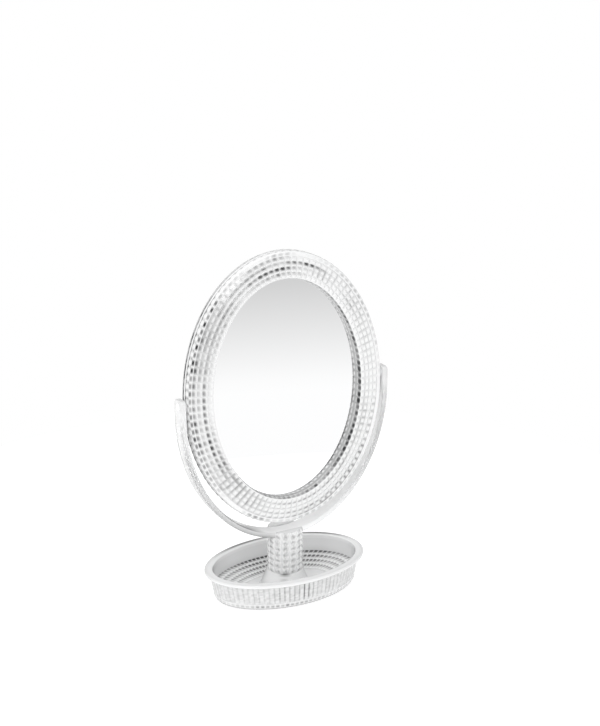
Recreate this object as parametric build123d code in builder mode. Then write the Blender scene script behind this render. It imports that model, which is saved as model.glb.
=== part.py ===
from build123d import *
import os
from math import cos, radians, sin

# Table-top vanity mirror in clear crystal-cut plastic. An oval, double-sided mirror head
# swivels between the arms of a U-shaped yoke, which stands on a short post in an open
# oval tray. Millimetres, +Z up, +X to the right of the mirror, the front faces -Y. The
# origin is the middle of the footprint, on the table.

# ---------------------------------------------------------------- driving dimensions
# Fits: gaps that are left on purpose, all on the radius or on one side.
running_gap = 0.05          # pin in its bush
seat_gap = 0.05             # parts that are pushed together
saddle_gap = 0.3            # between the bent strap and the post
glass_gap = 0.4             # round the edge of the mirror glass

# Mirror head: a ring in two halves, joined on the mid-plane, round two glasses.
pivot_height = 201.0        # pivot axis above the table
rest_tilt = 3.5             # degrees that the head leans back at rest
ring_half_width = 101.0
ring_half_height = 129.3
ring_side = 4.4             # half the width of the flat outer edge
ring_wall = 2.2
corner_inset = 1.7          # shoulder at the outer edge
corner_front = 6.3
crest_inset = 4.6           # first groove between bead rows
crest_front = 6.4
lip_inset = 24.2            # front edge of the opening
lip_front = 9.8
opening_inset = 25.2        # opening where it meets the glass
rebate_inset = 21.2         # recess that holds the edge of the glass
rebate_wall = 2.4
bead_rows = 4
bead_relief = 1.15
glass_thickness = 1.5
backing_thickness = 0.6

# Pivots: a headed pin through each arm, in a bush trapped between the two ring halves.
pin_radius = 2.0
pin_head_radius = 3.6
pin_head_height = 1.4
pin_head_proud = 0.4        # head stands this far out of the arm
pin_reach = 9.4             # length of pin inside the ring
pin_tip_chamfer = 0.5
pin_head_round = 0.4
bush_wall = 1.2
bush_length = 11.0
boss_wall = 2.0             # plastic round the bush
boss_end = 1.8              # plastic behind the bush
pad_radius = 4.3            # flat pad on the ring's edge
pad_height = 0.4
washer_radius = 4.6
washer_thickness = 1.0

# Yoke: a flat strap bent into a U.
strap_thickness = 5.0
strap_depth = 16.0
strap_edge = 1.1            # rounding of its long edges
arm_above_pivot = 6.0
arm_corner = 3.5
arm_straight = 11.5         # straight part of each arm below the pivot
head_clearance = 11.5       # between the ring's lowest edge and the yoke
stub_radius = 6.0
stub_length = 10.0

# Post: a round crystal-cut column, open below, with a saddle for the yoke on top.
post_radius = 17.3
saddle_height = 6.8         # from the yoke's lowest point up to the top of the post
post_bore_radius = 12.0
post_rows = 7
post_columns = 14
post_relief = 1.1
post_shelf = 3.0            # shelf inside, which carries the yoke's stub

# Tray: rolled rim, ribbed outer skirt, and a bowl floor that falls in rows of beads.
rim_half_length = 81.5
rim_half_width = 53.1
rim_top = 29.0
rim_thickness = 3.4
rim_width = 8.0
rim_edge = 1.4
skirt_neck = 4.4            # skirt's inset under the rim
skirt_draft_x = 4.6         # how much the skirt narrows at each end
skirt_draft_y = 1.8         # and at front and back
skirt_turn = 4.0            # rounding at its lower edge, across and up
skirt_bottom = 1.0
skirt_wall = 2.4
bowl_wall_draft = 0.6
bowl_foot = 14.0            # height at which the inner wall meets the first bead row
bowl_rows = 4
bowl_row_x = 6.6            # how far each row steps in, at the ends
bowl_row_y = 5.0            # and at front and back
floor_top = 3.6
floor_thickness = 2.0

# Raised foot in the middle of the tray, which takes the post.
foot_radius = 24.0
foot_top = 20.0
foot_plate = 6.0            # thickness under the post
foot_wall = 4.0
spigot_height = 2.5
spigot_wall = 3.0

# Tie screw, which pulls yoke, post and tray together from below.
screw_radius = 2.0
screw_bite = 10.5           # length of thread in the yoke's stub
screw_head_radius = 4.0
screw_head_height = 2.6
screw_head_round = 1.0
screw_cross_length = 4.4
screw_cross_width = 0.9
screw_cross_depth = 1.4
screw_washer_radius = 6.5
screw_washer_thickness = 1.2

# Rubber feet, on bosses inside the skirt
foot_pad_angle = 40.0       # round from the tray's ends
foot_pad_inset = 8.0        # from the inside of the skirt's lower edge
foot_pad_radius = 5.0
foot_pad_thickness = 1.8
foot_pad_edge = 0.6
foot_boss_radius = 6.2

# ---------------------------------------------------------------- derived places
tilt = radians(rest_tilt)
# Face plane of the head: x across, y up along the leaning head, z out to the front.
face = Plane(origin=(0, 0, pivot_height), x_dir=(1, 0, 0), z_dir=(0, -cos(tilt), sin(tilt)))
across = Vector(1, 0, 0)
glass_front = backing_thickness / 2 + glass_thickness
pad_face = ring_half_width + pad_height
arm_inner = pad_face + washer_thickness
arm_outer = arm_inner + strap_thickness
head_face = arm_outer + pin_head_proud
head_seat = head_face - pin_head_height
pin_tip = pad_face - pin_reach
yoke_centre = pivot_height - arm_straight
yoke_bottom = pivot_height - ring_half_height - head_clearance - strap_thickness
yoke_drop = yoke_centre - yoke_bottom
post_top = yoke_bottom + saddle_height
bush_radius = pin_radius + running_gap + bush_wall
boss_radius = bush_radius + seat_gap + boss_wall
stub_bottom = yoke_bottom - stub_length
screw_tip = stub_bottom + screw_bite
shelf_bottom = stub_bottom - post_shelf
foot_plate_bottom = foot_top - foot_plate
ENDS = (("left", -1), ("right", 1))


def end_plane(end, distance):
    """Plane square to the pivot axis, at a distance from the middle, facing outwards."""
    return Plane(origin=(end * distance, 0, pivot_height), x_dir=face.z_dir, z_dir=across * end)


def ring_section(side):
    """Corners of one half ring's section, as (inset from the outer edge, distance from the
    mid-plane). side is 1 for the front half and -1 for the back half."""
    rows = []
    run = (lip_inset - crest_inset) / bead_rows
    rise = (lip_front - crest_front) / bead_rows
    for row in range(bead_rows):
        groove = (crest_inset + row * run, crest_front + row * rise)
        rows.append(groove)
        rows.append((groove[0] + run / 2, groove[1] + rise / 2 + bead_relief))
    slope = rise / run
    cavity_end = rebate_inset - rebate_wall
    cavity_top = crest_front + (cavity_end - crest_inset) * slope - ring_wall
    outline = [
        (0, 0),
        (0, ring_side),
        (corner_inset, corner_front),
        *rows,
        (lip_inset, lip_front),
        (opening_inset, glass_front),
        (rebate_inset, glass_front),
        (rebate_inset, 0),
        (cavity_end, 0),
        (cavity_end, cavity_top),
        (crest_inset, crest_front - ring_wall),
        (ring_wall, ring_side - ring_wall / 2),
        (ring_wall, 0),
    ]
    return [(inset, side * front) for inset, front in outline]


def half_disc(radius, side):
    """Half of a disc, on the front or the back side of the mid-plane."""
    Circle(radius)
    with Locations((-side * radius, 0)):
        Rectangle(2 * radius, 2 * radius, mode=Mode.SUBTRACT)


parts = {}

# ---------------------------------------------------------------- mirror head
with BuildLine(face) as ring_edge:
    EllipticalCenterArc((0, 0), ring_half_width, ring_half_height, arc_size=360)

section_plane = Plane(
    origin=face.origin + face.x_dir * ring_half_width, x_dir=-face.x_dir, z_dir=face.y_dir
)

for name, side in (("front_ring", 1), ("back_ring", -1)):
    with BuildPart() as ring:
        with BuildSketch(section_plane):
            with BuildLine():
                Polyline(ring_section(side), close=True)
            make_face()
        sweep(path=ring_edge.wires()[0])
        for _, end in ENDS:
            # Bearing boss inside the hollow ring, and the flat pad on its outer edge.
            with BuildSketch(end_plane(end, ring_half_width - bush_length - boss_end)):
                half_disc(boss_radius, side)
            extrude(amount=bush_length + boss_end - ring_wall / 2)
            with BuildSketch(end_plane(end, ring_half_width - ring_wall / 2)):
                half_disc(pad_radius, side)
            extrude(amount=ring_wall / 2 + pad_height)
            # Half of the bush's seat
            with BuildSketch(end_plane(end, pad_face)):
                Circle(bush_radius + seat_gap)
            extrude(amount=-bush_length, mode=Mode.SUBTRACT)
    parts[name] = ring

for name, low, thickness in (
    ("front_glass", backing_thickness / 2, glass_thickness),
    ("backing_sheet", -backing_thickness / 2, backing_thickness),
    ("back_glass", -backing_thickness / 2 - glass_thickness, glass_thickness),
):
    with BuildPart() as pane:
        with BuildSketch(face.offset(low)):
            edge_inset = rebate_inset + glass_gap
            Ellipse(ring_half_width - edge_inset, ring_half_height - edge_inset)
        extrude(amount=thickness)
    parts[name] = pane

# ---------------------------------------------------------------- pivots
for hand, end in ENDS:
    with BuildPart() as bush:
        with BuildSketch(end_plane(end, pad_face)):
            Circle(bush_radius)
            Circle(pin_radius + running_gap, mode=Mode.SUBTRACT)
        extrude(amount=-bush_length)
    parts["pivot_bush_" + hand] = bush

    with BuildPart() as washer:
        with BuildSketch(end_plane(end, pad_face)):
            Circle(washer_radius)
            Circle(pin_radius + running_gap, mode=Mode.SUBTRACT)
        extrude(amount=washer_thickness)
    parts["friction_washer_" + hand] = washer

    with BuildPart() as pin:
        with BuildSketch(end_plane(end, head_face)):
            Circle(pin_head_radius)
        extrude(amount=-pin_head_height)
        with BuildSketch(end_plane(end, head_seat)):
            Circle(pin_radius)
        extrude(amount=pin_tip - head_seat)
        tip = pin.faces().sort_by(Axis.X)[0 if end > 0 else -1]
        chamfer(tip.edges(), pin_tip_chamfer)
        crown = pin.faces().sort_by(Axis.X)[-1 if end > 0 else 0]
        fillet(crown.edges(), pin_head_round)
    parts["pivot_pin_" + hand] = pin

# ---------------------------------------------------------------- yoke
with BuildPart() as yoke:
    with BuildSketch(Plane.XZ):
        arm_top = pivot_height + arm_above_pivot
        inner_drop = yoke_drop - strap_thickness
        with BuildLine():
            EllipticalCenterArc((0, yoke_centre), arm_outer, yoke_drop, 180, arc_size=180)
            Line((arm_outer, yoke_centre), (arm_outer, arm_top))
            Line((arm_outer, arm_top), (arm_inner, arm_top))
            Line((arm_inner, arm_top), (arm_inner, yoke_centre))
            EllipticalCenterArc((0, yoke_centre), arm_inner, inner_drop, 180, arc_size=180)
            Line((-arm_inner, yoke_centre), (-arm_inner, arm_top))
            Line((-arm_inner, arm_top), (-arm_outer, arm_top))
            Line((-arm_outer, arm_top), (-arm_outer, yoke_centre))
        make_face()
    extrude(amount=strap_depth / 2, both=True)
    tip_corners = yoke.edges().filter_by(Axis.X).group_by(Axis.Z)[-1]
    fillet(tip_corners, arm_corner)
    fillet(yoke.faces().filter_by(Axis.Y).edges(), strap_edge)
    with BuildSketch(Plane.XY.offset(stub_bottom)):
        Circle(stub_radius)
    extrude(amount=stub_length + strap_thickness / 2)
    with BuildSketch(Plane.XY.offset(stub_bottom)):
        Circle(screw_radius + seat_gap)
    extrude(amount=screw_bite + seat_gap, mode=Mode.SUBTRACT)
    for _, end in ENDS:
        with BuildSketch(end_plane(end, arm_outer)):
            Circle(pin_radius + seat_gap)
        extrude(amount=-strap_thickness, mode=Mode.SUBTRACT)
        with BuildSketch(end_plane(end, arm_outer)):
            Circle(pin_head_radius + seat_gap)
        extrude(amount=head_seat - arm_outer, mode=Mode.SUBTRACT)
parts["yoke"] = yoke

# ---------------------------------------------------------------- post
with BuildPart() as post:
    row_height = (post_top - foot_top) / post_rows
    groove_radius = post_radius - post_relief
    with BuildSketch(Plane.XZ):
        with BuildLine():
            corners = [(0, foot_top), (groove_radius, foot_top)]
            for row in range(post_rows):
                corners.append((post_radius, foot_top + (row + 0.5) * row_height))
                corners.append((groove_radius, foot_top + (row + 1) * row_height))
            corners.append((0, post_top))
            Polyline(corners, close=True)
        make_face()
    revolve(axis=Axis.Z)
    # Upright grooves between the columns of beads
    with BuildSketch(Plane.XY.offset(foot_top)):
        with PolarLocations(post_radius, post_columns):
            Rectangle(2 * post_relief, 2 * post_relief, rotation=45)
    extrude(amount=post_top - foot_top, mode=Mode.SUBTRACT)
    with BuildSketch(Plane.XY.offset(foot_top)):
        Circle(post_bore_radius)
    extrude(amount=shelf_bottom - foot_top, mode=Mode.SUBTRACT)
    # Saddle under the yoke's strap, and the hole for its stub
    with BuildSketch(Plane.XZ):
        with Locations((0, yoke_centre)):
            Ellipse(arm_outer + saddle_gap, yoke_drop + saddle_gap)
    extrude(amount=strap_depth / 2 + seat_gap, both=True, mode=Mode.SUBTRACT)
    with BuildSketch(Plane.XY.offset(stub_bottom)):
        Circle(stub_radius + seat_gap)
    extrude(amount=stub_length + saddle_gap, mode=Mode.SUBTRACT)
    with BuildSketch(Plane.XY.offset(shelf_bottom)):
        Circle(screw_radius + seat_gap)
    extrude(amount=post_shelf, mode=Mode.SUBTRACT)
parts["post"] = post

# ---------------------------------------------------------------- tray
neck_x = rim_half_length - skirt_neck
neck_y = rim_half_width - skirt_neck
skirt_top = rim_top - rim_thickness
inner_x = rim_half_length - rim_width
inner_y = rim_half_width - rim_width


def skirt_ovals(inset):
    """Heights and half axes of the skirt, from its lower edge up, drawn in by inset."""
    low_x = neck_x - skirt_draft_x - inset
    low_y = neck_y - skirt_draft_y - inset
    turn = skirt_turn / 2
    return [
        (skirt_bottom, low_x - turn, low_y - turn),
        (skirt_bottom + turn, low_x - turn / 3, low_y - turn / 3),
        (skirt_bottom + 2 * turn, low_x, low_y),
        (skirt_top, neck_x - inset, neck_y - inset),
    ]


def bowl_ovals(drop):
    """Heights and half axes of the bowl's floor, from its flat middle up, lowered by drop."""
    ovals = []
    for row in range(bowl_rows, -1, -1):
        height = bowl_foot - (bowl_foot - floor_top) * row / bowl_rows
        half_x = inner_x - bowl_wall_draft - row * bowl_row_x
        half_y = inner_y - bowl_wall_draft - row * bowl_row_y
        ovals.append((height - drop, half_x, half_y))
    return ovals


skirt_inside = skirt_ovals(skirt_wall)
open_x, open_y = skirt_inside[0][1:]
pad_x = (open_x - foot_pad_inset) * cos(radians(foot_pad_angle))
pad_y = (open_y - foot_pad_inset) * sin(radians(foot_pad_angle))

# Space under the bowl, inside the skirt
with BuildPart() as underside:
    under_top = bowl_foot - floor_thickness
    top_share = (under_top - skirt_inside[2][0]) / (skirt_top - skirt_inside[2][0])
    top_x = skirt_inside[2][1] + (skirt_inside[3][1] - skirt_inside[2][1]) * top_share
    top_y = skirt_inside[2][2] + (skirt_inside[3][2] - skirt_inside[2][2]) * top_share
    for height, half_x, half_y in (
        (0, open_x, open_y),
        *skirt_inside[:3],
        (under_top, top_x, top_y),
    ):
        with BuildSketch(Plane.XY.offset(height)):
            Ellipse(half_x, half_y)
    loft(ruled=True)
    for height, half_x, half_y in bowl_ovals(floor_thickness):
        with BuildSketch(Plane.XY.offset(height)):
            Ellipse(half_x, half_y)
    loft(ruled=True, mode=Mode.SUBTRACT)

with BuildPart() as tray:
    for height, half_x, half_y in skirt_ovals(0):
        with BuildSketch(Plane.XY.offset(height)):
            Ellipse(half_x, half_y)
    loft(ruled=True)
    with BuildSketch(Plane.XY.offset(skirt_top)):
        Ellipse(rim_half_length, rim_half_width)
    extrude(amount=rim_thickness)
    rim_face = tray.faces().sort_by(Axis.Z)[-1]
    fillet(rim_face.edges(), rim_edge)
    add(underside.part, mode=Mode.SUBTRACT)
    # Bosses for the rubber feet, trimmed by the bowl that is cut next
    with BuildSketch(Plane.XY.offset(foot_pad_thickness)):
        with GridLocations(2 * pad_x, 2 * pad_y, 2, 2):
            Circle(foot_boss_radius)
    extrude(amount=bowl_foot - foot_pad_thickness)
    for height, half_x, half_y in (*bowl_ovals(0), (rim_top, inner_x, inner_y)):
        with BuildSketch(Plane.XY.offset(height)):
            Ellipse(half_x, half_y)
    loft(ruled=True, mode=Mode.SUBTRACT)
    # Raised foot for the post, hollow below, with a spigot that centres the post
    with BuildSketch(Plane.XY.offset(floor_top - floor_thickness)):
        Circle(foot_radius)
    with BuildSketch(Plane.XY.offset(foot_top)):
        Circle(post_radius)
    loft()
    with BuildSketch(Plane.XY.offset(foot_top)):
        Circle(post_bore_radius - seat_gap)
    extrude(amount=spigot_height)
    with BuildSketch(Plane.XY.offset(foot_top + spigot_height)):
        Circle(post_bore_radius - spigot_wall)
    extrude(amount=-spigot_height, mode=Mode.SUBTRACT)
    with BuildSketch(Plane.XY.offset(floor_top - floor_thickness)):
        Circle(foot_radius - foot_wall)
    with BuildSketch(Plane.XY.offset(foot_plate_bottom)):
        Circle(post_radius - foot_wall)
    loft(mode=Mode.SUBTRACT)
    with BuildSketch(Plane.XY.offset(foot_plate_bottom)):
        Circle(screw_radius + seat_gap)
    extrude(amount=foot_plate, mode=Mode.SUBTRACT)
parts["tray"] = tray

# ---------------------------------------------------------------- tie screw and feet
washer_bottom = foot_plate_bottom - screw_washer_thickness
head_bottom = washer_bottom - screw_head_height
with BuildPart() as tie_washer:
    with BuildSketch(Plane.XY.offset(washer_bottom)):
        Circle(screw_washer_radius)
        Circle(screw_radius + seat_gap, mode=Mode.SUBTRACT)
    extrude(amount=screw_washer_thickness)
parts["tie_washer"] = tie_washer

with BuildPart() as tie_screw:
    with BuildSketch(Plane.XY.offset(head_bottom)):
        Circle(screw_head_radius)
    extrude(amount=screw_head_height)
    fillet(tie_screw.edges().group_by(Axis.Z)[0], screw_head_round)
    with BuildSketch(Plane.XY.offset(washer_bottom)):
        Circle(screw_radius)
    extrude(amount=screw_tip - washer_bottom)
    with BuildSketch(Plane.XY.offset(head_bottom)):
        Rectangle(screw_cross_length, screw_cross_width)
        Rectangle(screw_cross_width, screw_cross_length)
    extrude(amount=screw_cross_depth, mode=Mode.SUBTRACT)
parts["tie_screw"] = tie_screw

corners = [(x, y) for y in (-1, 1) for x in (-1, 1)]
for name, (x, y) in zip(("front_left", "front_right", "back_left", "back_right"), corners):
    with BuildPart() as foot_pad:
        with BuildSketch():
            with Locations((x * pad_x, y * pad_y)):
                Circle(foot_pad_radius)
        extrude(amount=foot_pad_thickness)
        fillet(foot_pad.edges().group_by(Axis.Z)[0], foot_pad_edge)
    parts["foot_pad_" + name] = foot_pad

# ---------------------------------------------------------------- export
os.makedirs("parts", exist_ok=True)
for name, piece in parts.items():
    piece.part.label = name
    export_step(piece.part, "parts/" + name + ".step")
    print(name, round(piece.part.volume / 1000, 2), "cm3", piece.part.is_valid)
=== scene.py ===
"""Looks for the table-top vanity mirror: clear, crystal-cut plastic round silvered glass.

The mirror head, the yoke and the tray get surfaces with the cut pattern of the real ones.
Lengths in the surface functions are millimetres, as in the part's own source, and MM brings
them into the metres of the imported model's frame. The materials work in metres.
"""
import math

import bpy
import numpy as np
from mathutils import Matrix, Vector


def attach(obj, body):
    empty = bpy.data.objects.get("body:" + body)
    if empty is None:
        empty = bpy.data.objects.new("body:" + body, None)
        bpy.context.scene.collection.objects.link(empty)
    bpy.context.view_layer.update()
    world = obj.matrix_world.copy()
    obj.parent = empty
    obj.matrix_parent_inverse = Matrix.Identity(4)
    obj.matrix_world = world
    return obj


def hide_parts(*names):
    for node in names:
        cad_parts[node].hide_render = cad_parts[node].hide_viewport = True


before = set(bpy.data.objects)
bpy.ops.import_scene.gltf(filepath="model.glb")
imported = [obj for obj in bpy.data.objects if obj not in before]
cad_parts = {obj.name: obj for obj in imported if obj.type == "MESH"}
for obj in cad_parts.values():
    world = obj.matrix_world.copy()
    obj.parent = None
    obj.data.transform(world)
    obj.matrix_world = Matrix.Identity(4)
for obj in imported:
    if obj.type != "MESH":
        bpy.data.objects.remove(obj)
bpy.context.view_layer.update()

MM = 0.001

# Sizes of the solids that the surfaces follow.
PIVOT_HEIGHT = 201.0
RING_X, RING_Z = 101.0, 129.3  # half axes of the ring's outer edge
PAD_RADIUS, PAD_HEIGHT = 4.3, 0.4  # flat pad on the ring's edge at each pivot
WASHER = 1.0  # soft washer between pad and arm
STRAP_THICKNESS, STRAP_DEPTH = 5.0, 16.0
STRAP_ROUND = 1.1  # rounding of the strap's long edges
STRAP_FLAT = STRAP_THICKNESS / 2 - STRAP_ROUND  # from the middle to where that begins
ARM_CORNER = 3.5  # rounding at the tips of the arms
ARM_TOP = PIVOT_HEIGHT + 6.0
ARM_FOOT = PIVOT_HEIGHT - 11.5  # down to here the arms are straight
ARM_X = RING_X + PAD_HEIGHT + WASHER + STRAP_THICKNESS / 2  # middle of an arm
HEAD_CLEARANCE = 11.5  # between the ring's lowest edge and the strap
STRAP_BOTTOM = PIVOT_HEIGHT - RING_Z - HEAD_CLEARANCE - STRAP_THICKNESS
STUB_RADIUS, STUB_LENGTH = 6.0, 10.0
POST_COLUMNS = 14
FOOT_TOP = 20.0  # the post stands on the tray's foot at this height
POST_ROW = 6.0  # height of a row of beads on the post
RIM = np.array((81.5, 53.1))  # half axes of the outer edge of the tray's rim
RIM_TOP = 29.0
SKIRT = np.array((72.5, 46.9))  # half axes of the skirt at its lower edge
SKIRT_DRAFT = np.array((4.6, 1.8))  # how much they grow up to the rim

# The face of the head leans back at rest, so its own directions are turned by that angle.
REST_TILT = math.radians(3.5)
PIVOT = np.array([0.0, 0.0, PIVOT_HEIGHT]) * MM
ACROSS = np.array([1.0, 0.0, 0.0])
UP_FACE = np.array([0.0, math.sin(REST_TILT), math.cos(REST_TILT)])
OUT_FACE = np.array([0.0, -math.cos(REST_TILT), math.sin(REST_TILT)])

# Places across a cut bead, from one groove towards the next, which are at -1 and 1.
PLACES = np.array([-1.0, -0.62, -0.3, 0.3, 0.62])


# ------------------------------------------------------------------ beads and meshes
def oval_walk(half_x, half_y, steps):
    """Angles round an oval at which equal lengths of its edge have been walked: the edge is
    measured in 7200 short chords, and the angle is read back at each equal share."""
    angle = np.linspace(0, 2 * np.pi, 7201)
    chord = np.hypot(np.diff(half_x * np.cos(angle)), np.diff(half_y * np.sin(angle)))
    walked = np.concatenate([[0], np.cumsum(chord)])
    return np.interp(np.asarray(steps) * walked[-1], walked, angle)


def cell_steps(count, inside):
    """Steps round a closed row of count cells, as shares of the whole row, and how far each
    lies from its cell's middle: 1 at a groove, 0 at the middle. inside holds the places
    between two grooves, from -1 to 1."""
    places = np.array([-1.0] + list(inside))
    cells = np.arange(count)[:, None] + (places[None, :] + 1) / 2
    return (cells / count).ravel(), np.tile(np.abs(places), count)


def hump(angle, *humps):
    """How strongly painted shade and reflection show round an oval: a sum of raised cosines,
    each given by its middle and half width in degrees and its height."""
    total = np.zeros(len(angle))
    for middle, width, tall in humps:
        away = np.abs((np.degrees(angle) - middle + 180) % 360 - 180)
        total += tall * np.where(away < width, 0.5 + 0.5 * np.cos(np.pi * away / width), 0)
    return total


def uneven(count, each, seed):
    """A factor from 0.65 to 1.2 for every bead of a row, repeated for the bead's points: the
    decimals of a large multiple of a sine, so it is the same each time."""
    step, jump, stretch = 12.9898, 78.233, 43758.5453
    waves = np.sin(np.arange(count) * step + seed * jump) * stretch
    return np.repeat(0.65 + 0.55 * (waves - np.floor(waves)), each)


def table_cut(along, round_, table):
    """Height of a cut bead, from 0 at its grooves to 1 on its small flat top: one minus the
    larger distance from the middle, stretched so that the flat top has the given width."""
    far = np.maximum(np.abs(along)[None, :], np.abs(round_)[:, None])
    return np.clip((1 - far) / (1 - table), 0, 1)


def ahead_along(section):
    """The direction from each point of a closed outline to the next, with length one."""
    ahead = np.roll(section, -1, 0) - section
    return ahead / np.maximum(np.linalg.norm(ahead, axis=1), 1e-9)[:, None]


def grid_corners(rows, columns, rows_close):
    """The point numbers at the four corners of each square of a grid. Its columns close on
    themselves, and its rows do so if rows_close is true."""
    number = np.arange(rows * columns).reshape(rows, columns)
    if rows_close:
        number = np.concatenate([number, number[:1]], 0)
    number = np.concatenate([number, number[:, :1]], 1)
    return (number[:-1, :-1].ravel(), number[1:, :-1].ravel(),
            number[1:, 1:].ravel(), number[:-1, 1:].ravel())


def knit(name, points, lift, dark, sharp, flip=False):
    """A mesh from a grid of points that closes both ways. Each square of the grid becomes two
    triangles, and the fold between them runs along the diagonal that rises, so that cut
    beads keep flat facets."""
    height = lift.ravel()
    a, b, c, d = grid_corners(*points.shape[:2], rows_close=True)
    rising = (height[a] + height[c] >= height[b] + height[d])[:, None]
    first = np.where(rising, np.stack([a, b, c], 1), np.stack([a, b, d], 1))
    second = np.where(rising, np.stack([a, c, d], 1), np.stack([b, c, d], 1))
    faces = np.concatenate([first, second])
    if flip:
        faces = faces[:, ::-1]
    return build(name, points.reshape(-1, 3), faces, dark, sharp)


def build(name, points, faces, dark=None, sharp=20.0):
    """An object whose mesh has these points and triangles, smooth except where two faces
    meet at more than the sharp angle. dark says how grey each point is painted, as painted
    shade and reflection on the plastic."""
    mesh = bpy.data.meshes.new(name)
    mesh.vertices.add(len(points))
    mesh.vertices.foreach_set("co", np.asarray(points, np.float32).ravel())
    mesh.loops.add(faces.size)
    mesh.loops.foreach_set("vertex_index", faces.astype(np.int32).ravel())
    mesh.polygons.add(len(faces))
    mesh.polygons.foreach_set("loop_start", np.arange(0, faces.size, 3, dtype=np.int32))
    mesh.polygons.foreach_set("use_smooth", np.ones(len(faces), bool))
    mesh.update()
    mesh.validate()
    mesh.set_sharp_from_angle(angle=math.radians(sharp))
    # The painted shade and reflection, kept on the points as the attribute dark.
    marks = mesh.attributes.new("dark", "FLOAT", "POINT")
    if dark is not None:
        marks.data.foreach_set("value", np.clip(dark, 0, 1).astype(np.float32).ravel())
    piece = bpy.data.objects.new(name, mesh)
    bpy.context.scene.collection.objects.link(piece)
    return piece


# ------------------------------------------------------------------ mirror ring
# Bands of the ring's section. The rows of beads on its face are 0 to 3, outermost first.
FACE_ROWS = 4
WALL_ROW, EDGE_ROW, CREST, LIP, THROAT, SEAM, SHOULDER = 4, 5, 6, 7, 8, 9, 10
PLAIN = -1
RING_BEADS = 100
BEAD_SHIFT = 0.0015  # all rows are turned back by this share of a full round


def ring_section():
    """The section of one half of the ring, as a closed outline. Each station has its distance
    in from the outer edge and out from the mid-plane, how far its cut stands out, its place
    across its bead from -1 to 1, and its band. A row of beads is a straight stretch with a
    station at each of the bead's places."""
    face_start, face_end = np.array((5.0, 6.4)), np.array((24.2, 9.8))
    face_step = (face_end - face_start) / FACE_ROWS
    edge_relief, face_relief, wall_relief = 0.45, 1.15, 0.55
    stations = []

    def corner(inset, out, band=PLAIN):
        stations.append((inset, out, 0.0, 1.0, band))

    def row(start, end, relief, band):
        for place in PLACES:
            inset, out = np.array(start) + (np.array(end) - np.array(start)) * (place + 1) / 2
            stations.append((inset, out, relief, place, band))

    for inset, out, band in ((0.0, 0.0, SEAM), (0.25, 1.3, SEAM)):
        corner(inset, out, band)
    row((0.45, 1.5), (0.45, 4.3), edge_relief, EDGE_ROW)
    for inset, out, band in ((0.45, 4.3, PLAIN), (0.6, 5.2, SHOULDER), (1.1, 5.95, SHOULDER),
                             (1.9, 6.25, CREST), (2.7, 6.35, CREST), (3.5, 6.4, CREST),
                             (4.2, 6.4, PLAIN)):
        corner(inset, out, band)
    for n in range(FACE_ROWS):
        row(face_start + n * face_step, face_start + (n + 1) * face_step, face_relief, n)
    corner(*face_end)
    corner(24.45, 9.65, LIP)
    row((24.75, 8.7), (25.15, 2.6), wall_relief, WALL_ROW)
    corner(25.2, 2.5, THROAT)
    corner(25.2, 1.8, THROAT)
    for inset, out in ((21.2, 1.8), (21.2, 0.0), (18.8, 0.0), (18.8, 6.6), (4.6, 4.2),
                       (2.2, 3.3), (2.2, 0.0)):  # the rebate and the hollow inside
        corner(inset, out)
    return np.array(stations).T


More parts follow.
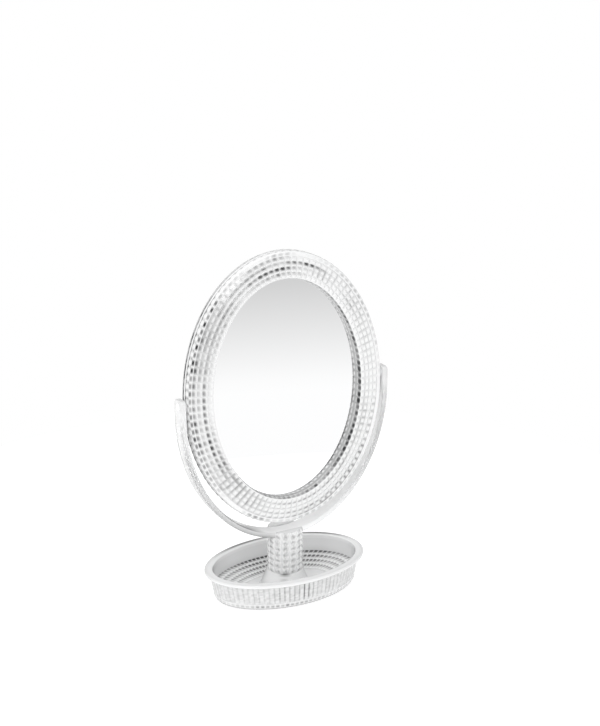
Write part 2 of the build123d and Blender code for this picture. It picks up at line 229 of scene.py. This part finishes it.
def ring_painted_shade(angle, cell, place, band):
    """How grey each point of the ring is painted: painted shade and painted reflection, for the
    dark surroundings seen in and through the cut facets. A bead has a dash on its outer facet,
    a longer line there where neighbours run together, and strokes of painted shade in the
    grooves beside it. Each is a level across the bead times a level round it, times a factor of
    its own for every bead, and swells and fades in humps round the oval, as the light falls.
    The bands without rows have one level across."""
    dash_out = np.interp(place, PLACES, (0.9, 1.0, 0.75, 0.05, 0.08))
    line_out = np.interp(place, PLACES, (0.5, 1.0, 0.4, 0.0, 0.0))
    middle_to_groove = (0.3, 0.62, 1.0)
    dash_round = np.interp(cell, middle_to_groove, (1.0, 0.55, 0.0))
    line_round = np.interp(cell, middle_to_groove, (1.05, 0.85, 0.45))
    stroke_round = np.interp(cell, middle_to_groove, (0.0, 0.45, 1.0))
    dashes = {
        0: hump(angle, (100, 24, 0.6), (165, 48, 0.6), (205, 40, 0.5), (285, 60, 0.4)),
        1: hump(angle, (76, 20, 0.75), (160, 40, 0.35), (200, 28, 0.35), (35, 14, 0.25),
                (290, 60, 0.35)),
        2: hump(angle, (94, 28, 0.65), (158, 40, 0.35), (197, 36, 0.75), (38, 14, 0.25)),
        3: hump(angle, (92, 26, 0.4), (150, 40, 0.12), (210, 30, 0.5), (300, 80, 0.35)),
        WALL_ROW: hump(angle, (345, 120, 0.6)) + 0.35,
        EDGE_ROW: hump(angle, (178, 80, 0.9)) + 0.1,
    }
    lines = {
        1: hump(angle, (116, 42, 0.85)),
        2: hump(angle, (118, 46, 0.8)),
        3: hump(angle, (128, 50, 0.45)),
    }
    strokes = {
        0: hump(angle, (229, 26, 0.4), (304, 38, 0.75), (335, 34, 0.35), (40, 40, 0.25),
                (145, 50, 0.35)),
        1: hump(angle, (60, 16, 0.35), (152, 30, 0.35), (231, 30, 0.5), (25, 34, 0.2)),
        2: hump(angle, (64, 14, 0.35), (152, 30, 0.35), (231, 30, 0.5), (340, 18, 0.4),
                (25, 34, 0.2)),
        3: hump(angle, (228, 30, 0.45), (320, 50, 0.25)),
        WALL_ROW: hump(angle, (345, 120, 0.4)) + 0.15,
        EDGE_ROW: hump(angle, (178, 80, 0.8)) + 0.1,
    }
    dark = np.zeros((len(angle), len(place)))
    for row, dash in dashes.items():
        spread = uneven(RING_BEADS, len(PLACES), row)
        line = lines.get(row, 0.0)
        level = (np.outer(spread * dash_round * (0.08 + 1.3 * dash), dash_out)
                 + np.outer(spread * line_round * line, line_out)
                 + (spread * stroke_round * (0.05 + strokes[row]))[:, None])
        dark = np.where(band == row, level, dark)

    def per_bead(seed):
        return uneven(RING_BEADS, len(PLACES), seed)

    one_level = {
        CREST: hump(angle, (154, 52, 1.0), (202, 32, 0.8), (92, 14, 0.4), (248, 12, 0.8),
                    (35, 50, 0.4), (290, 50, 0.4)) * dash_round * per_bead(6),
        SHOULDER: hump(angle, (172, 60, 0.6)) * stroke_round * per_bead(8),
        LIP: hump(angle, (345, 60, 0.7), (2, 30, 0.6)) * dash_round,
        THROAT: np.full(len(angle), 0.45),
        SEAM: hump(angle, (232, 48, 0.6)),
    }
    for strip, shade_tone in one_level.items():
        dark = np.where(band == strip, shade_tone[:, None], dark)
    return dark


def ring_surface(name, side):
    """One half of the mirror's ring: its section carried round the oval of the outer edge,
    each point straight in from that edge. The four rows of beads on the face, the row on
    the inner wall and the flutes on the outer edge stand out from the section along its
    normal by their cut's height. side is 1 for the front half and -1 for the back one."""
    around, cell = cell_steps(RING_BEADS, PLACES[1:])
    angle = oval_walk(RING_X, RING_Z, (around - BEAD_SHIFT) % 1)
    edge = np.stack([RING_X * np.cos(angle), RING_Z * np.sin(angle)], 1)
    normal = np.stack([RING_Z * np.cos(angle), RING_X * np.sin(angle)], 1)
    normal /= np.linalg.norm(normal, axis=1)[:, None]

    inset, out, relief, place, band = ring_section()
    ahead = ahead_along(np.stack([inset, out], 1))
    flat_top = 0.3
    cut = np.where(relief > 0, table_cut(place, cell, flat_top), 0.0)
    inset = inset - ahead[:, 1] * relief * cut
    out = out + ahead[:, 0] * relief * cut
    flat = edge[:, None, :] - normal[:, None, :] * inset[:, :, None]
    points = PIVOT + MM * (flat[:, :, :1] * ACROSS + flat[:, :, 1:] * UP_FACE
                           + side * out[:, :, None] * OUT_FACE)
    # Painted shade and reflection on the ring's facets, grooves and bands.
    shade_tone = ring_painted_shade(angle, cell, place, band)
    return knit(name, points, cut, shade_tone, sharp=9.0, flip=side < 0)


# ------------------------------------------------------------------ yoke and pivots
def strap_route():
    """The middle line of the strap, from the front: straight down one arm, round the lower
    half of an oval, and straight up the other arm. Near the tips its points lie as close as
    a quarter circle's, for the round corners there."""
    tip = ARM_CORNER * (1 - np.cos(np.linspace(0, np.pi / 2, 9)))
    below_tip = 4.0
    down = np.concatenate([ARM_TOP - tip, np.linspace(ARM_TOP - below_tip, ARM_FOOT, 12)])
    sweep = np.linspace(np.pi, 2 * np.pi, 181)[1:-1]
    arm = np.full(len(down), ARM_X)
    depth = ARM_FOOT - STRAP_BOTTOM - STRAP_THICKNESS / 2
    x = np.concatenate([-arm, ARM_X * np.cos(sweep), arm])
    z = np.concatenate([down, ARM_FOOT + depth * np.sin(sweep), down[::-1]])
    return x, z


def strap_section():
    """The strap's section, an oblong whose four corners are quarter circles of six points:
    how far each point lies outwards from the middle line, its place from front to back as
    measured from the edge it belongs to, and which edge that is, 1 for the back and -1 for
    the front."""
    corner = np.linspace(0, np.pi / 2, 6)
    outwards = STRAP_FLAT + STRAP_ROUND * np.cos(corner)
    short = STRAP_ROUND * np.sin(corner) - STRAP_ROUND
    outer, back, forwards = (1, -1, -1, 1), (1, 1, -1, -1), (1, -1, 1, -1)
    across = [(side * outwards)[::order] for side, order in zip(outer, forwards)]
    deep = [(side * short)[::order] for side, order in zip(back, forwards)]
    return np.concatenate(across), np.concatenate(deep), np.repeat(back, len(corner))


def strap_painted_shade(path_x, across, edge):
    """How grey each point of the strap is painted, all of it painted shade: a sum of strengths
    that follow the place from left to right, each times a shape across the section. The first
    shape is the outer and the front face, shaded most at the lower left, and the others are
    thin lines of painted shade along the edges, as bell curves, for the dark edges of clear
    plastic."""
    front = edge < 0

    def line(middle, width):
        return np.exp(-((across - middle) / width) ** 2)

    outer_face = np.clip(across / STRAP_FLAT, 0, 1)
    front_face = front & (np.abs(across) < 2.4)
    body = np.interp(path_x, (-ARM_X, -95, -20, 0, 60, ARM_X), (0.1, 0.6, 1, 0, 0, 0.3))
    inner_edges = body * np.interp(path_x, (-50, -35, -25), (0.18, 0.06, 0.0))
    outer_front = np.interp(path_x, (-60, -40, -20, -8, 15, 30, 90, ARM_X),
                            (0, 0.4, 0.5, 0, 0, 0.4, 0.35, 0.1))
    inner_front = np.interp(path_x, (-85, -70, -40, -25), (0, 0.4, 0.4, 0))
    return (np.outer(0.24 * body, outer_face + 1.3 * front_face)
            + np.outer(inner_edges, 1.5 * line(-2.3, 0.35))
            + np.outer(outer_front, line(2.35, 0.3) * front)
            + np.outer(inner_front, line(-2.35, 0.4) * front))


def strap_surface(name):
    """The yoke: the strap's section carried along its route, with the thickness square to the
    route and the depth level, from front to back. At both tips the depth shrinks as on a
    circle, and a fan of triangles closes each end."""
    path_x, path_z = strap_route()
    across, deep, edge = strap_section()
    lead = np.gradient(np.stack([path_x, path_z], 1), axis=0)
    lead /= np.linalg.norm(lead, axis=1)[:, None]
    drop = np.minimum(ARM_TOP - path_z, ARM_CORNER)
    arc = np.sqrt(np.maximum(ARM_CORNER ** 2 - (ARM_CORNER - drop) ** 2, 0))
    half_depth = STRAP_DEPTH / 2 - (ARM_CORNER - arc)
    x = path_x[:, None] + np.outer(lead[:, 1], across)
    z = path_z[:, None] - np.outer(lead[:, 0], across)
    y = np.outer(half_depth, edge) + deep
    points = MM * np.stack([x, y, z], 2)

    rows, columns = points.shape[:2]
    a, b, c, d = grid_corners(rows, columns, rows_close=False)
    walls = np.concatenate([np.stack([a, b, c], 1), np.stack([a, c, d], 1)])
    near, far = np.full(columns, rows * columns), np.full(columns, rows * columns + 1)
    ring = np.arange(columns)
    after = np.roll(ring, -1)
    last_row = (rows - 1) * columns
    caps = np.concatenate([np.stack([near, ring, after], 1),
                           np.stack([far, after + last_row, ring + last_row], 1)])
    faces = np.concatenate([walls, caps])[:, ::-1]
    all_points = np.concatenate([points.reshape(-1, 3), points[[0, -1]].mean(1)])
    # Painted shade on the strap, and a faint painted shade on the middle points of its end
    # caps.
    tip_shade = 0.1
    dark = strap_painted_shade(path_x, across, edge)
    dark = np.concatenate([dark.ravel(), [tip_shade, tip_shade]])
    return build(name, all_points, faces, dark, sharp=28.0)


def rod(name, start, end, radius):
    """A short round rod between two points: a circle of points round each end, the wall
    between them, and a middle point that closes each end."""
    count = 64
    start, end = np.array(start) * MM, np.array(end) * MM
    along = (end - start) / np.linalg.norm(end - start)
    first = np.cross(along, (0.0, 1.0, 0.0))
    first /= np.linalg.norm(first)
    second = np.cross(along, first)
    turn = np.linspace(0, 2 * np.pi, count + 1)[:-1, None]
    circle = radius * MM * (np.cos(turn) * first + np.sin(turn) * second)
    points = np.concatenate([start + circle, end + circle, [start, end]])
    near = np.arange(count)
    after = np.roll(near, -1)
    faces = np.concatenate([
        np.stack([near, after, after + count], 1),
        np.stack([near, after + count, near + count], 1),
        np.stack([after, near, np.full(count, 2 * count)], 1),
        np.stack([near + count, after + count, np.full(count, 2 * count + 1)], 1)])
    return build(name, points, faces, sharp=40.0)


def pivot_pad(name, side):
    """The flat round pad on the ring's edge at one pivot, sunk as deep as it stands out."""
    return rod(name, (side * (RING_X - PAD_HEIGHT), 0, PIVOT_HEIGHT),
               (side * (RING_X + PAD_HEIGHT), 0, PIVOT_HEIGHT), PAD_RADIUS)


def yoke_stub(name):
    """The stub below the yoke's middle. It starts inside the strap."""
    sunk = 1.8
    return rod(name, (0, 0, STRAP_BOTTOM + sunk), (0, 0, STRAP_BOTTOM - STUB_LENGTH),
               STUB_RADIUS)


# ------------------------------------------------------------------ tray
SMOOTH, BEADED, FLUTED = 0, 1, 2
RIBS = 80
RIB_PLACES = (-0.75, -0.45, -0.2, 0.2, 0.45, 0.75)
RIB_POINTS = len(RIB_PLACES) + 1
RIB_ROUND = (0.2, 0.45, 0.75, 1.0)  # from a rib's middle to its groove
WALK_X, WALK_Y = 77.0, 49.0  # the oval on which the ribs are evenly spaced
BOWL_TOP = np.array((*(RIM - 8.6), 11.8))  # where the rows of beads begin
BOWL_STEP = np.array((-6.6, -5.0, -2.3))  # from one row to the next
BOWL_ROWS = 4


def station(half_axes, z, shade_tone=0.0, relief=0.0, place=1.0, cut=SMOOTH):
    """One station of the tray's section: the half axes and height of an oval, how grey it is
    painted, mostly as painted shade and reflection, how far its cut stands out, its place
    across its bead, and the kind of cut."""
    return *half_axes, z, shade_tone, relief, place, cut


def skirt_foot(angle, cell):
    """The lower edge of the skirt: it turns in, darkened with painted shade, with a row of
    small beads above that carry dots of painted reflection, strongest towards the front.
    """
    # Dots of painted reflection on the small beads, strongest towards the front.
    dots = np.interp(cell, RIB_ROUND, (1.0, 0.9, 0.35, 0.1))
    dots = dots * (0.2 + hump(angle, (250, 55, 0.4))) * uneven(RIBS, RIB_POINTS, 1)
    # Painted shade where the skirt turns in underneath.
    yield station(SKIRT - 4.4, 1.0, 0.5)
    yield station(SKIRT - 2.0, 1.0, 0.85)
    yield station(SKIRT - 1.2, 1.35, 0.8)
    for place, shown in zip(PLACES, (0.1, 0.5, 1.0, 0.9, 0.4)):
        share = (place + 1) / 2
        yield station(SKIRT - 0.6 + 0.5 * share, 2.6 + 3.6 * share, 0.08 + shown * dots, 0.5,
                      place, BEADED)
    yield station(SKIRT - 0.1, 6.3, 0.1)


def skirt(angle, cell):
    """The ribbed skirt: 14 ovals that grow evenly towards the rim. Its grey is a fine patchy
    one that differs at random, plus a line of painted shade in the groove between each two ribs
    that is strongest in front, and painted shade just under the rim."""
    low, high = 5.0, 25.6
    first, last = 6.8, 24.2
    # Painted shade in the groove between each two ribs, strongest in front.
    between = np.interp(cell, (0.45, 0.75, 1.0), (0.0, 0.35, 1.0))
    ribbed = 0.05 + hump(angle, (262, 60, 0.12), (266, 10, 0.26), (247, 8, 0.22))
    ribbed = ribbed * uneven(RIBS, RIB_POINTS, 2) ** 2
    patch, first_seed = 4, 20
    for n, z in enumerate(np.linspace(first, last, 14)):
        grow = (z - low) / (high - low)
        fade = np.interp(z, (first, 10.0, 21.0, last), (0.3, 1.0, 1.0, 0.5))
        patchy = 0.21 * uneven(len(angle) // patch, patch, first_seed + n) ** 2
        yield station(SKIRT + SKIRT_DRAFT * grow, z,
                      0.04 + patchy + 1.5 * between * ribbed * fade, 0.45, 0.0, FLUTED)
    # Painted shade just under the rim's roll.
    yield station((77.0, 48.65), 24.9, 0.14)
    yield station((77.3, 48.9), 25.5, 0.16)


def rolled_rim(angle):
    """The rim: half a circle round its outside, a flat top, and a quarter circle down to the
    inner wall. It has painted shade round its roll, heaviest on the upper half, and on the
    outer part of its top, all of it stronger on the far side."""
    roll, fall = 1.7, 1.2  # radius of the outside and of the inner edge
    base = 0.12
    # Painted shade round the roll, heavier on the far side.
    far_side_shade = base + hump(angle, (45, 42, 0.75), (105, 44, 0.75))
    for turn in np.linspace(-np.pi / 2, np.pi / 2, 13):
        shown = np.interp(np.degrees(turn), (-90, -30, 30, 60), (0.1, 0.1, 0.8, 1.0))
        yield station(RIM - roll + roll * np.cos(turn), RIM_TOP - roll + roll * np.sin(turn),
                      shown * far_side_shade)
    yield station(RIM - 4.5, RIM_TOP, 0.8 * (far_side_shade - base))
    yield station(RIM - 5.1, RIM_TOP)
    for turn in np.linspace(np.pi / 2, np.pi, 7):
        yield station(RIM - 6.8 + fall * np.cos(turn), RIM_TOP - fall + fall * np.sin(turn))


def bowl(angle, cell):
    """The smooth inner wall, the four rows of beads that step in and down from it, and the
    flat floor. A bead carries painted shade and reflection on the facet towards the wall, more
    on the far side. A faint painted shade lies near the top of the wall, a stronger one at the
    floor's edge by the last row, and a trace over the floor."""
    yield station(RIM - 8.1, 25.8)
    yield station(RIM - 8.15, 25.2, 0.05)
    yield station(RIM - 8.3, 20.0)
    yield station(RIM - 8.55, 12.7)
    # Painted shade and reflection on each bead's facet towards the wall.
    dashed = np.interp(cell, RIB_ROUND, (1.0, 0.9, 0.5, 0.1))
    for n in range(BOWL_ROWS):
        strength = 0.5 - 0.08 * n
        shade_tone = dashed * (0.62 + hump(angle, (95, 38, strength), (45, 24, strength)))
        for place, shown in zip(PLACES, (1, 1, 0.8, 0.12, 0)):
            *half_axes, z = BOWL_TOP + BOWL_STEP * (n + (place + 1) / 2)
            yield station(half_axes, z, shade_tone * shown, 0.75, place, BEADED)
    *floor_edge, floor_top = BOWL_TOP + BOWL_STEP * BOWL_ROWS
    # Painted shade where the floor meets the last row.
    yield station(floor_edge, floor_top, 0.25)
    yield station((44.5, 24.3), floor_top, 0.04)
    yield station((25.0, 23.6), floor_top, 0.03)


def hollow_foot(angle):
    """The raised foot that carries the post: up a cone with a dark mark of painted reflection
    in front, just below the post, and a fainter one lower, then round the spigot, through the
    screw's hole and down inside."""
    clear = 0.03
    yield station((22.9, 22.7), 4.6, clear)
    for share in np.linspace(0.1, 1.0, 10):
        # Painted reflection: a dark mark in front below the post, and a fainter one lower.
        mark = (hump(angle, (242, 26, 0.8)) * np.interp(share, (0.85, 0.95, 1.0), (0, 1, 1))
                + hump(angle, (240, 18, 0.35)) * np.interp(share, (0.5, 0.65, 0.8), (0, 1, 0)))
        radius = 22.8 - 5.5 * share
        yield station((radius, radius), 4.8 + 15.2 * share, clear + mark)
    spigot, spigot_top, bore, hole = 11.95, 22.5, 9.0, 2.05
    for radius, z in ((spigot, FOOT_TOP), (spigot, spigot_top), (bore, spigot_top),
                      (bore, FOOT_TOP), (hole, FOOT_TOP), (hole, 14.0), (13.3, 14.0),
                      (19.8, 1.2)):
        yield station((radius, radius), z)


def underside():
    """Below the floor and up behind the skirt."""
    for half_x, half_y, z in ((46.5, 24.5, 1.2), (72.0, 44.0, 10.0), (70.9, 45.2, 8.0),
                              (70.1, 44.5, 5.0), (69.4, 43.8, 3.0)):
        yield station((half_x, half_y), z)


def tray_surface(name):
    """The tray. Every station of its section is an oval with two half axes and a height, and
    together they make one closed skin: up the ribbed skirt, over the rolled rim, down the
    inner wall, across four rows of beads, up the raised foot, and back underneath. Beads
    stand out along the section's normal by their cut's height, and ribs are what is left
    between grooves with a round section."""
    around, cell = cell_steps(RIBS, RIB_PLACES)
    angle = oval_walk(WALK_X, WALK_Y, around)
    stations = [*skirt_foot(angle, cell), *skirt(angle, cell), *rolled_rim(angle),
                *bowl(angle, cell), *hollow_foot(angle), *underside()]
    half_x, half_y, z, shade_tone, relief, place, kind = zip(*stations)
    # The grey of every station round the oval, mostly painted shade and reflection.
    painted_shade = np.stack([shown * np.ones(len(angle)) for shown in shade_tone], 1)
    half_x, half_y, z, relief, place, kind = np.array([half_x, half_y, z, relief, place, kind])

    ahead = ahead_along(np.stack([(half_x + half_y) / 2, z], 1))
    flat_top = 0.25
    beads = table_cut(place, cell, flat_top)
    ribs = np.sqrt(np.maximum(1 - cell ** 2, 0))[:, None]
    cut = np.where(kind == BEADED, beads, np.where(kind == FLUTED, ribs, 0.0))
    move = relief * (cut - (kind == FLUTED))
    half_x = half_x + ahead[:, 1] * move
    half_y = half_y + ahead[:, 1] * move
    z = z - ahead[:, 0] * move
    points = MM * np.stack([half_x * np.cos(angle)[:, None], half_y * np.sin(angle)[:, None],
                            z], 2)
    return knit(name, points, cut, painted_shade, sharp=16.0)


front = ring_surface("front_ring_cut", 1)
back = ring_surface("back_ring_cut", -1)
strap = strap_surface("yoke_strap")
pad_left = pivot_pad("pivot_pad_left", -1)
pad_right = pivot_pad("pivot_pad_right", 1)
stub = yoke_stub("yoke_stub")
tray = tray_surface("tray_cut")


# ------------------------------------------------------------------ finishes
def finish(name):
    """A new material, with its node tree and its main shader."""
    material = bpy.data.materials.new(name)
    material.use_nodes = True
    return material, material.node_tree, material.node_tree.nodes["Principled BSDF"]


def feed(tree, socket, value):
    """Gives a socket its value: a number, a colour, or what another node puts out."""
    if isinstance(value, bpy.types.NodeSocket):
        tree.links.new(value, socket)
    else:
        socket.default_value = value


def worked_out(tree, kind, *values):
    """The result of one sum on up to three values."""
    node = tree.nodes.new("ShaderNodeMath")
    node.operation = kind
    for socket, value in zip(node.inputs, values):
        feed(tree, socket, value)
    return node.outputs["Value"]


def mixed(tree, factor, first, second, blend="MIX"):
    """A colour made from two: the first where the factor is 0, the second where it is 1."""
    node = tree.nodes.new("ShaderNodeMix")
    node.data_type = "RGBA"
    node.blend_type = blend
    for name, value in (("Factor", factor), ("A", first), ("B", second)):
        feed(tree, node.inputs[name], value)
    return node.outputs["Result"]


def rescaled(tree, value, low, high, new_low=0.0, new_high=1.0):
    """A value with one range stretched evenly onto another."""
    node = tree.nodes.new("ShaderNodeMapRange")
    for name, number in (("Value", value), ("From Min", low), ("From Max", high),
                         ("To Min", new_low), ("To Max", new_high)):
        feed(tree, node.inputs[name], number)
    return node.outputs["Result"]


def grey_steps(tree, value, steps):
    """A grey that follows a value from 0 to 1, straight from each step to the next. A step is
    a place on the way and its grey."""
    node = tree.nodes.new("ShaderNodeValToRGB")
    elements = node.color_ramp.elements
    for element, (place, grey) in zip(elements, (steps[0], steps[-1])):
        element.position = place
        element.color = (grey, grey, grey, 1)
    for place, grey in steps[1:-1]:
        elements.new(place).color = (grey, grey, grey, 1)
    tree.links.new(value, node.inputs["Fac"])
    return node.outputs["Color"]


def place_along(tree, kind="Object"):
    """The place on the part in metres, or another kind of coordinate, as X, Y and Z."""
    where = tree.nodes.new("ShaderNodeTexCoord")
    split = tree.nodes.new("ShaderNodeSeparateXYZ")
    tree.links.new(where.outputs[kind], split.inputs["Vector"])
    return [split.outputs[axis] for axis in "XYZ"]


def mottle(tree, scale, detail):
    """Fine noise from 0 to 1 that stays put on the part."""
    where = tree.nodes.new("ShaderNodeTexCoord")
    noise = tree.nodes.new("ShaderNodeTexNoise")
    noise.inputs["Scale"].default_value = scale
    noise.inputs["Detail"].default_value = detail
    tree.links.new(where.outputs["Object"], noise.inputs["Vector"])
    return noise.outputs["Fac"]


def painted_shade_grey(tree):
    """How grey the plastic is painted on the mesh: its painted shade and reflection."""
    mark = tree.nodes.new("ShaderNodeAttribute")
    mark.attribute_name = "dark"
    return mark.outputs["Fac"]


def strap_clarity(tree):
    """How clear the yoke's plastic is, from its height: milky where it meets the post and
    clearest along the arms, and milky again at the pivots."""
    height = place_along(tree)[2]
    share = rescaled(tree, height, 0.05, 0.21)
    return grey_steps(tree, share, ((0.06, 0.05), (0.2, 0.3), (0.5, 0.72), (0.8, 0.72),
                                    (0.9, 0.25)))


def column_painted_shade(tree):
    """How grey the post is painted: painted shade and reflection in its cut columns. Round it,
    14 columns: each is grey up its middle, by a power of the distance from the pale ridge
                beside
    it. Up it, slanted rows of beads vary that a little, and fine patches vary it more. Nothing
    deeper than the skin is grey."""
    x, y, z = place_along(tree)
    skin_radius = 0.0155

    def result(kind, *values):
        return worked_out(tree, kind, *values)

    turn = result("ARCTAN2", y, x)
    column = result("PINGPONG", result("MULTIPLY", turn, POST_COLUMNS / (2 * math.pi)), 0.5)
    middle = result("SMOOTH_MIN", result("MULTIPLY", column, 3.2), 1.0, 0.3)
    rows = result("MULTIPLY", result("SUBTRACT", z, FOOT_TOP * MM), 1 / (POST_ROW * MM))
    slant = result("MULTIPLY", result("SUBTRACT", 0.5, column), 2.0)
    level = result("MULTIPLY", result("PINGPONG", result("ADD", rows, slant), 0.5), 2.0)
    outward = result("SQRT", result("ADD", result("POWER", x, 2.0), result("POWER", y, 2.0)))
    skin = result("GREATER_THAN", outward, skin_radius)
    speck = result("SUBTRACT", mottle(tree, 420.0, 1.0), 0.5)
    patch = result("MAXIMUM", result("MULTIPLY_ADD", speck, 3.2, 1.0), 0.25)
    bead = result("MULTIPLY_ADD", level, 0.1, 0.2)
    grey = result("MULTIPLY", result("POWER", middle, 2.6), bead)
    return result("MULTIPLY", result("MULTIPLY", grey, patch), skin)


def clear_plastic(name, pale, clarity, grey=painted_shade_grey, coat=0.5, shine=0.5, skim_power=3.0):
    """Clear cut plastic: pale and glossy, darker where grey is high, which is painted shade and
    reflection, and darker where the eye skims it, a painted shade that stands for its dark
    thick edges. clarity is how much light it lets through, a number or, like grey, a function
    that works it out in the node tree."""
    # Colours of the painted shade: the deep one for the marks, the pale one where the eye
    # skims.
    painted_shade_colour, skim_shade_colour = (0.02, 0.021, 0.023, 1), (0.45, 0.455, 0.46, 1)
    material, tree, shader = finish(name)
    for socket, value in {
            "Roughness": 0.2, "IOR": 1.49, "Coat Weight": coat, "Coat Roughness": 0.03,
            "Specular IOR Level": shine,
            "Transmission Weight": clarity(tree) if callable(clarity) else clarity}.items():
        feed(tree, shader.inputs[socket], value)
    # The pale plastic with its painted shade and reflection.
    shade_tone = mixed(tree, grey(tree), (pale, pale + 0.002, pale + 0.004, 1), painted_shade_colour)
    # Painted shade that grows where the eye skims the surface.
    skim = tree.nodes.new("ShaderNodeLayerWeight")
    skim.inputs["Blend"].default_value = 0.5
    thin = worked_out(tree, "POWER", skim.outputs["Facing"], skim_power)
    edge = mixed(tree, thin, shade_tone, skim_shade_colour, "MULTIPLY")
    feed(tree, shader.inputs["Base Color"], edge)
    return material


def plain(name, color, rough, metal=0.0, spot=0.04, scale=900.0):
    """A plain finish with faint mottling in its colour and roughness."""
    material, tree, shader = finish(name)
    shader.inputs["Metallic"].default_value = metal
    spots = mottle(tree, scale, 3.0)
    darker = [part * (1 - spot) for part in color]
    feed(tree, shader.inputs["Base Color"], mixed(tree, spots, (*darker, 1), (*color, 1)))
    dull = rescaled(tree, spots, 0.0, 1.0, rough * 0.8, rough * 1.2)
    feed(tree, shader.inputs["Roughness"], dull)
    return material


plastic = clear_plastic("clear_cut_plastic", 0.98, 0.15)
clear_strap = clear_plastic("clear_smooth_plastic", 0.99, strap_clarity, coat=0.15, shine=0.3,
                            skim_power=7.0)
column = clear_plastic("clear_beaded_column", 0.98, 0.12, column_painted_shade)
pin_plastic = plain("clear_pin_plastic", (0.93, 0.935, 0.94), 0.12)
silver = plain("silvered_glass", (0.99, 0.992, 0.995), 0.012, metal=1.0, spot=0.004, scale=30.0)
rubber = plain("clear_rubber", (0.8, 0.81, 0.82), 0.45)
steel = plain("zinc_plated_steel", (0.72, 0.72, 0.73), 0.3, metal=1.0)
nylon = plain("white_nylon", (0.85, 0.85, 0.84), 0.4)
board = plain("grey_backing_sheet", (0.6, 0.6, 0.6), 0.6)

NODE_FINISH = {
    "post": column, "pivot_pin_left": pin_plastic, "pivot_pin_right": pin_plastic,
    "front_glass": silver, "back_glass": silver, "backing_sheet": board,
    "tie_screw": steel, "tie_washer": steel,
    "pivot_bush_left": nylon, "pivot_bush_right": nylon,
    "friction_washer_left": rubber, "friction_washer_right": rubber,
    "foot_pad_front_left": rubber, "foot_pad_front_right": rubber,
    "foot_pad_back_left": rubber, "foot_pad_back_right": rubber,
}
for node, material in NODE_FINISH.items():
    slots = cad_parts[node].data.materials
    slots.clear()
    slots.append(material)

for piece, body, node, material in (
        (front, "mirror_head", "front_ring", plastic),
        (back, "mirror_head", "back_ring", plastic),
        (pad_left, "mirror_head", "front_ring", plastic),
        (pad_right, "mirror_head", "front_ring", plastic),
        (stub, "stand", "yoke", clear_strap),
        (strap, "stand", "yoke", clear_strap),
        (tray, "stand", "tray", plastic)):
    piece.data.materials.append(material)
    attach(piece, body)
    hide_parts(node)


# ------------------------------------------------------------------ floor, light and camera
def floor_disc():
    """A round floor: one flat ring of points and its middle."""
    radius, count = 0.5, 96
    turn = np.linspace(0, 2 * np.pi, count + 1)[:-1]
    rim = np.stack([radius * np.cos(turn), radius * np.sin(turn), np.zeros(count)], 1)
    number = np.arange(count)
    faces = np.stack([np.full(count, count), number, np.roll(number, -1)], 1)
    return build("floor", np.concatenate([rim, [[0, 0, 0]]]), faces)


def white_paper():
    """White paper that shines a little, so that shadows on it stay faint."""
    material, tree, shader = finish("white_paper")
    for socket, value in {"Base Color": (0.35, 0.35, 0.35, 1), "Roughness": 0.9,
                          "Specular IOR Level": 0.0, "Emission Color": (1, 1, 1, 1),
                          "Emission Strength": 0.8}.items():
        feed(tree, shader.inputs[socket], value)
    return material


def studio_world():
    """A white studio. What a glossy face mirrors is a backdrop whose grey follows the height
    in the room: white below, grey from a little under level up to half way, and white again
    at the top. The glass shows it as a grey that fades downwards."""
    world = bpy.data.worlds.new("studio")
    world.use_nodes = True
    tree = world.node_tree
    white = (1, 1, 1, 1)
    up = place_along(tree, "Generated")[2]
    backdrop = grey_steps(tree, rescaled(tree, up, -1.0, 1.0), (
        (0.0, 1.0), (0.3885, 1.0), (0.396, 0.93), (0.4055, 0.825), (0.423, 0.64), (0.46, 0.5),
        (0.5, 0.45), (0.75, 0.45), (0.9, 1.0), (1.0, 1.0)))
    rays = tree.nodes.new("ShaderNodeLightPath").outputs
    lit = mixed(tree, rays["Is Transmission Ray"], (1.05, 1.05, 1.05, 1), white)
    mirrored = mixed(tree, rays["Is Glossy Ray"], lit, backdrop)
    seen = mixed(tree, rays["Is Camera Ray"], mirrored, white)
    feed(tree, tree.nodes["Background"].inputs["Color"], seen)
    return world


def aim(thing, place, target):
    """Adds a lamp or a camera to the scene, at one place and pointed at another."""
    bpy.context.scene.collection.objects.link(thing)
    thing.location = place
    thing.rotation_euler = (Vector(target) - Vector(place)).to_track_quat("-Z", "Y").to_euler()


floor = floor_disc()
floor.data.materials.append(white_paper())

bpy.context.scene.world = studio_world()

key = bpy.data.lights.new("key", "AREA")
key.energy = 6.0
key.size = 0.9
aim(bpy.data.objects.new("key", key), (-0.8, -0.7, 1.5), (0, 0, 0.15))

# The place and lens that bring the outlines of ring, yoke and tray onto those in the photo.
camera = bpy.data.objects.new("camera", bpy.data.cameras.new("camera"))
aim(camera, (-0.6157, -1.1571, 0.6569), (0.0165, 0.0, 0.22285))
camera.data.sensor_width = 36.0
camera.data.lens = 74.611
bpy.context.scene.camera = camera
bpy.context.scene.view_settings.view_transform = "Standard"
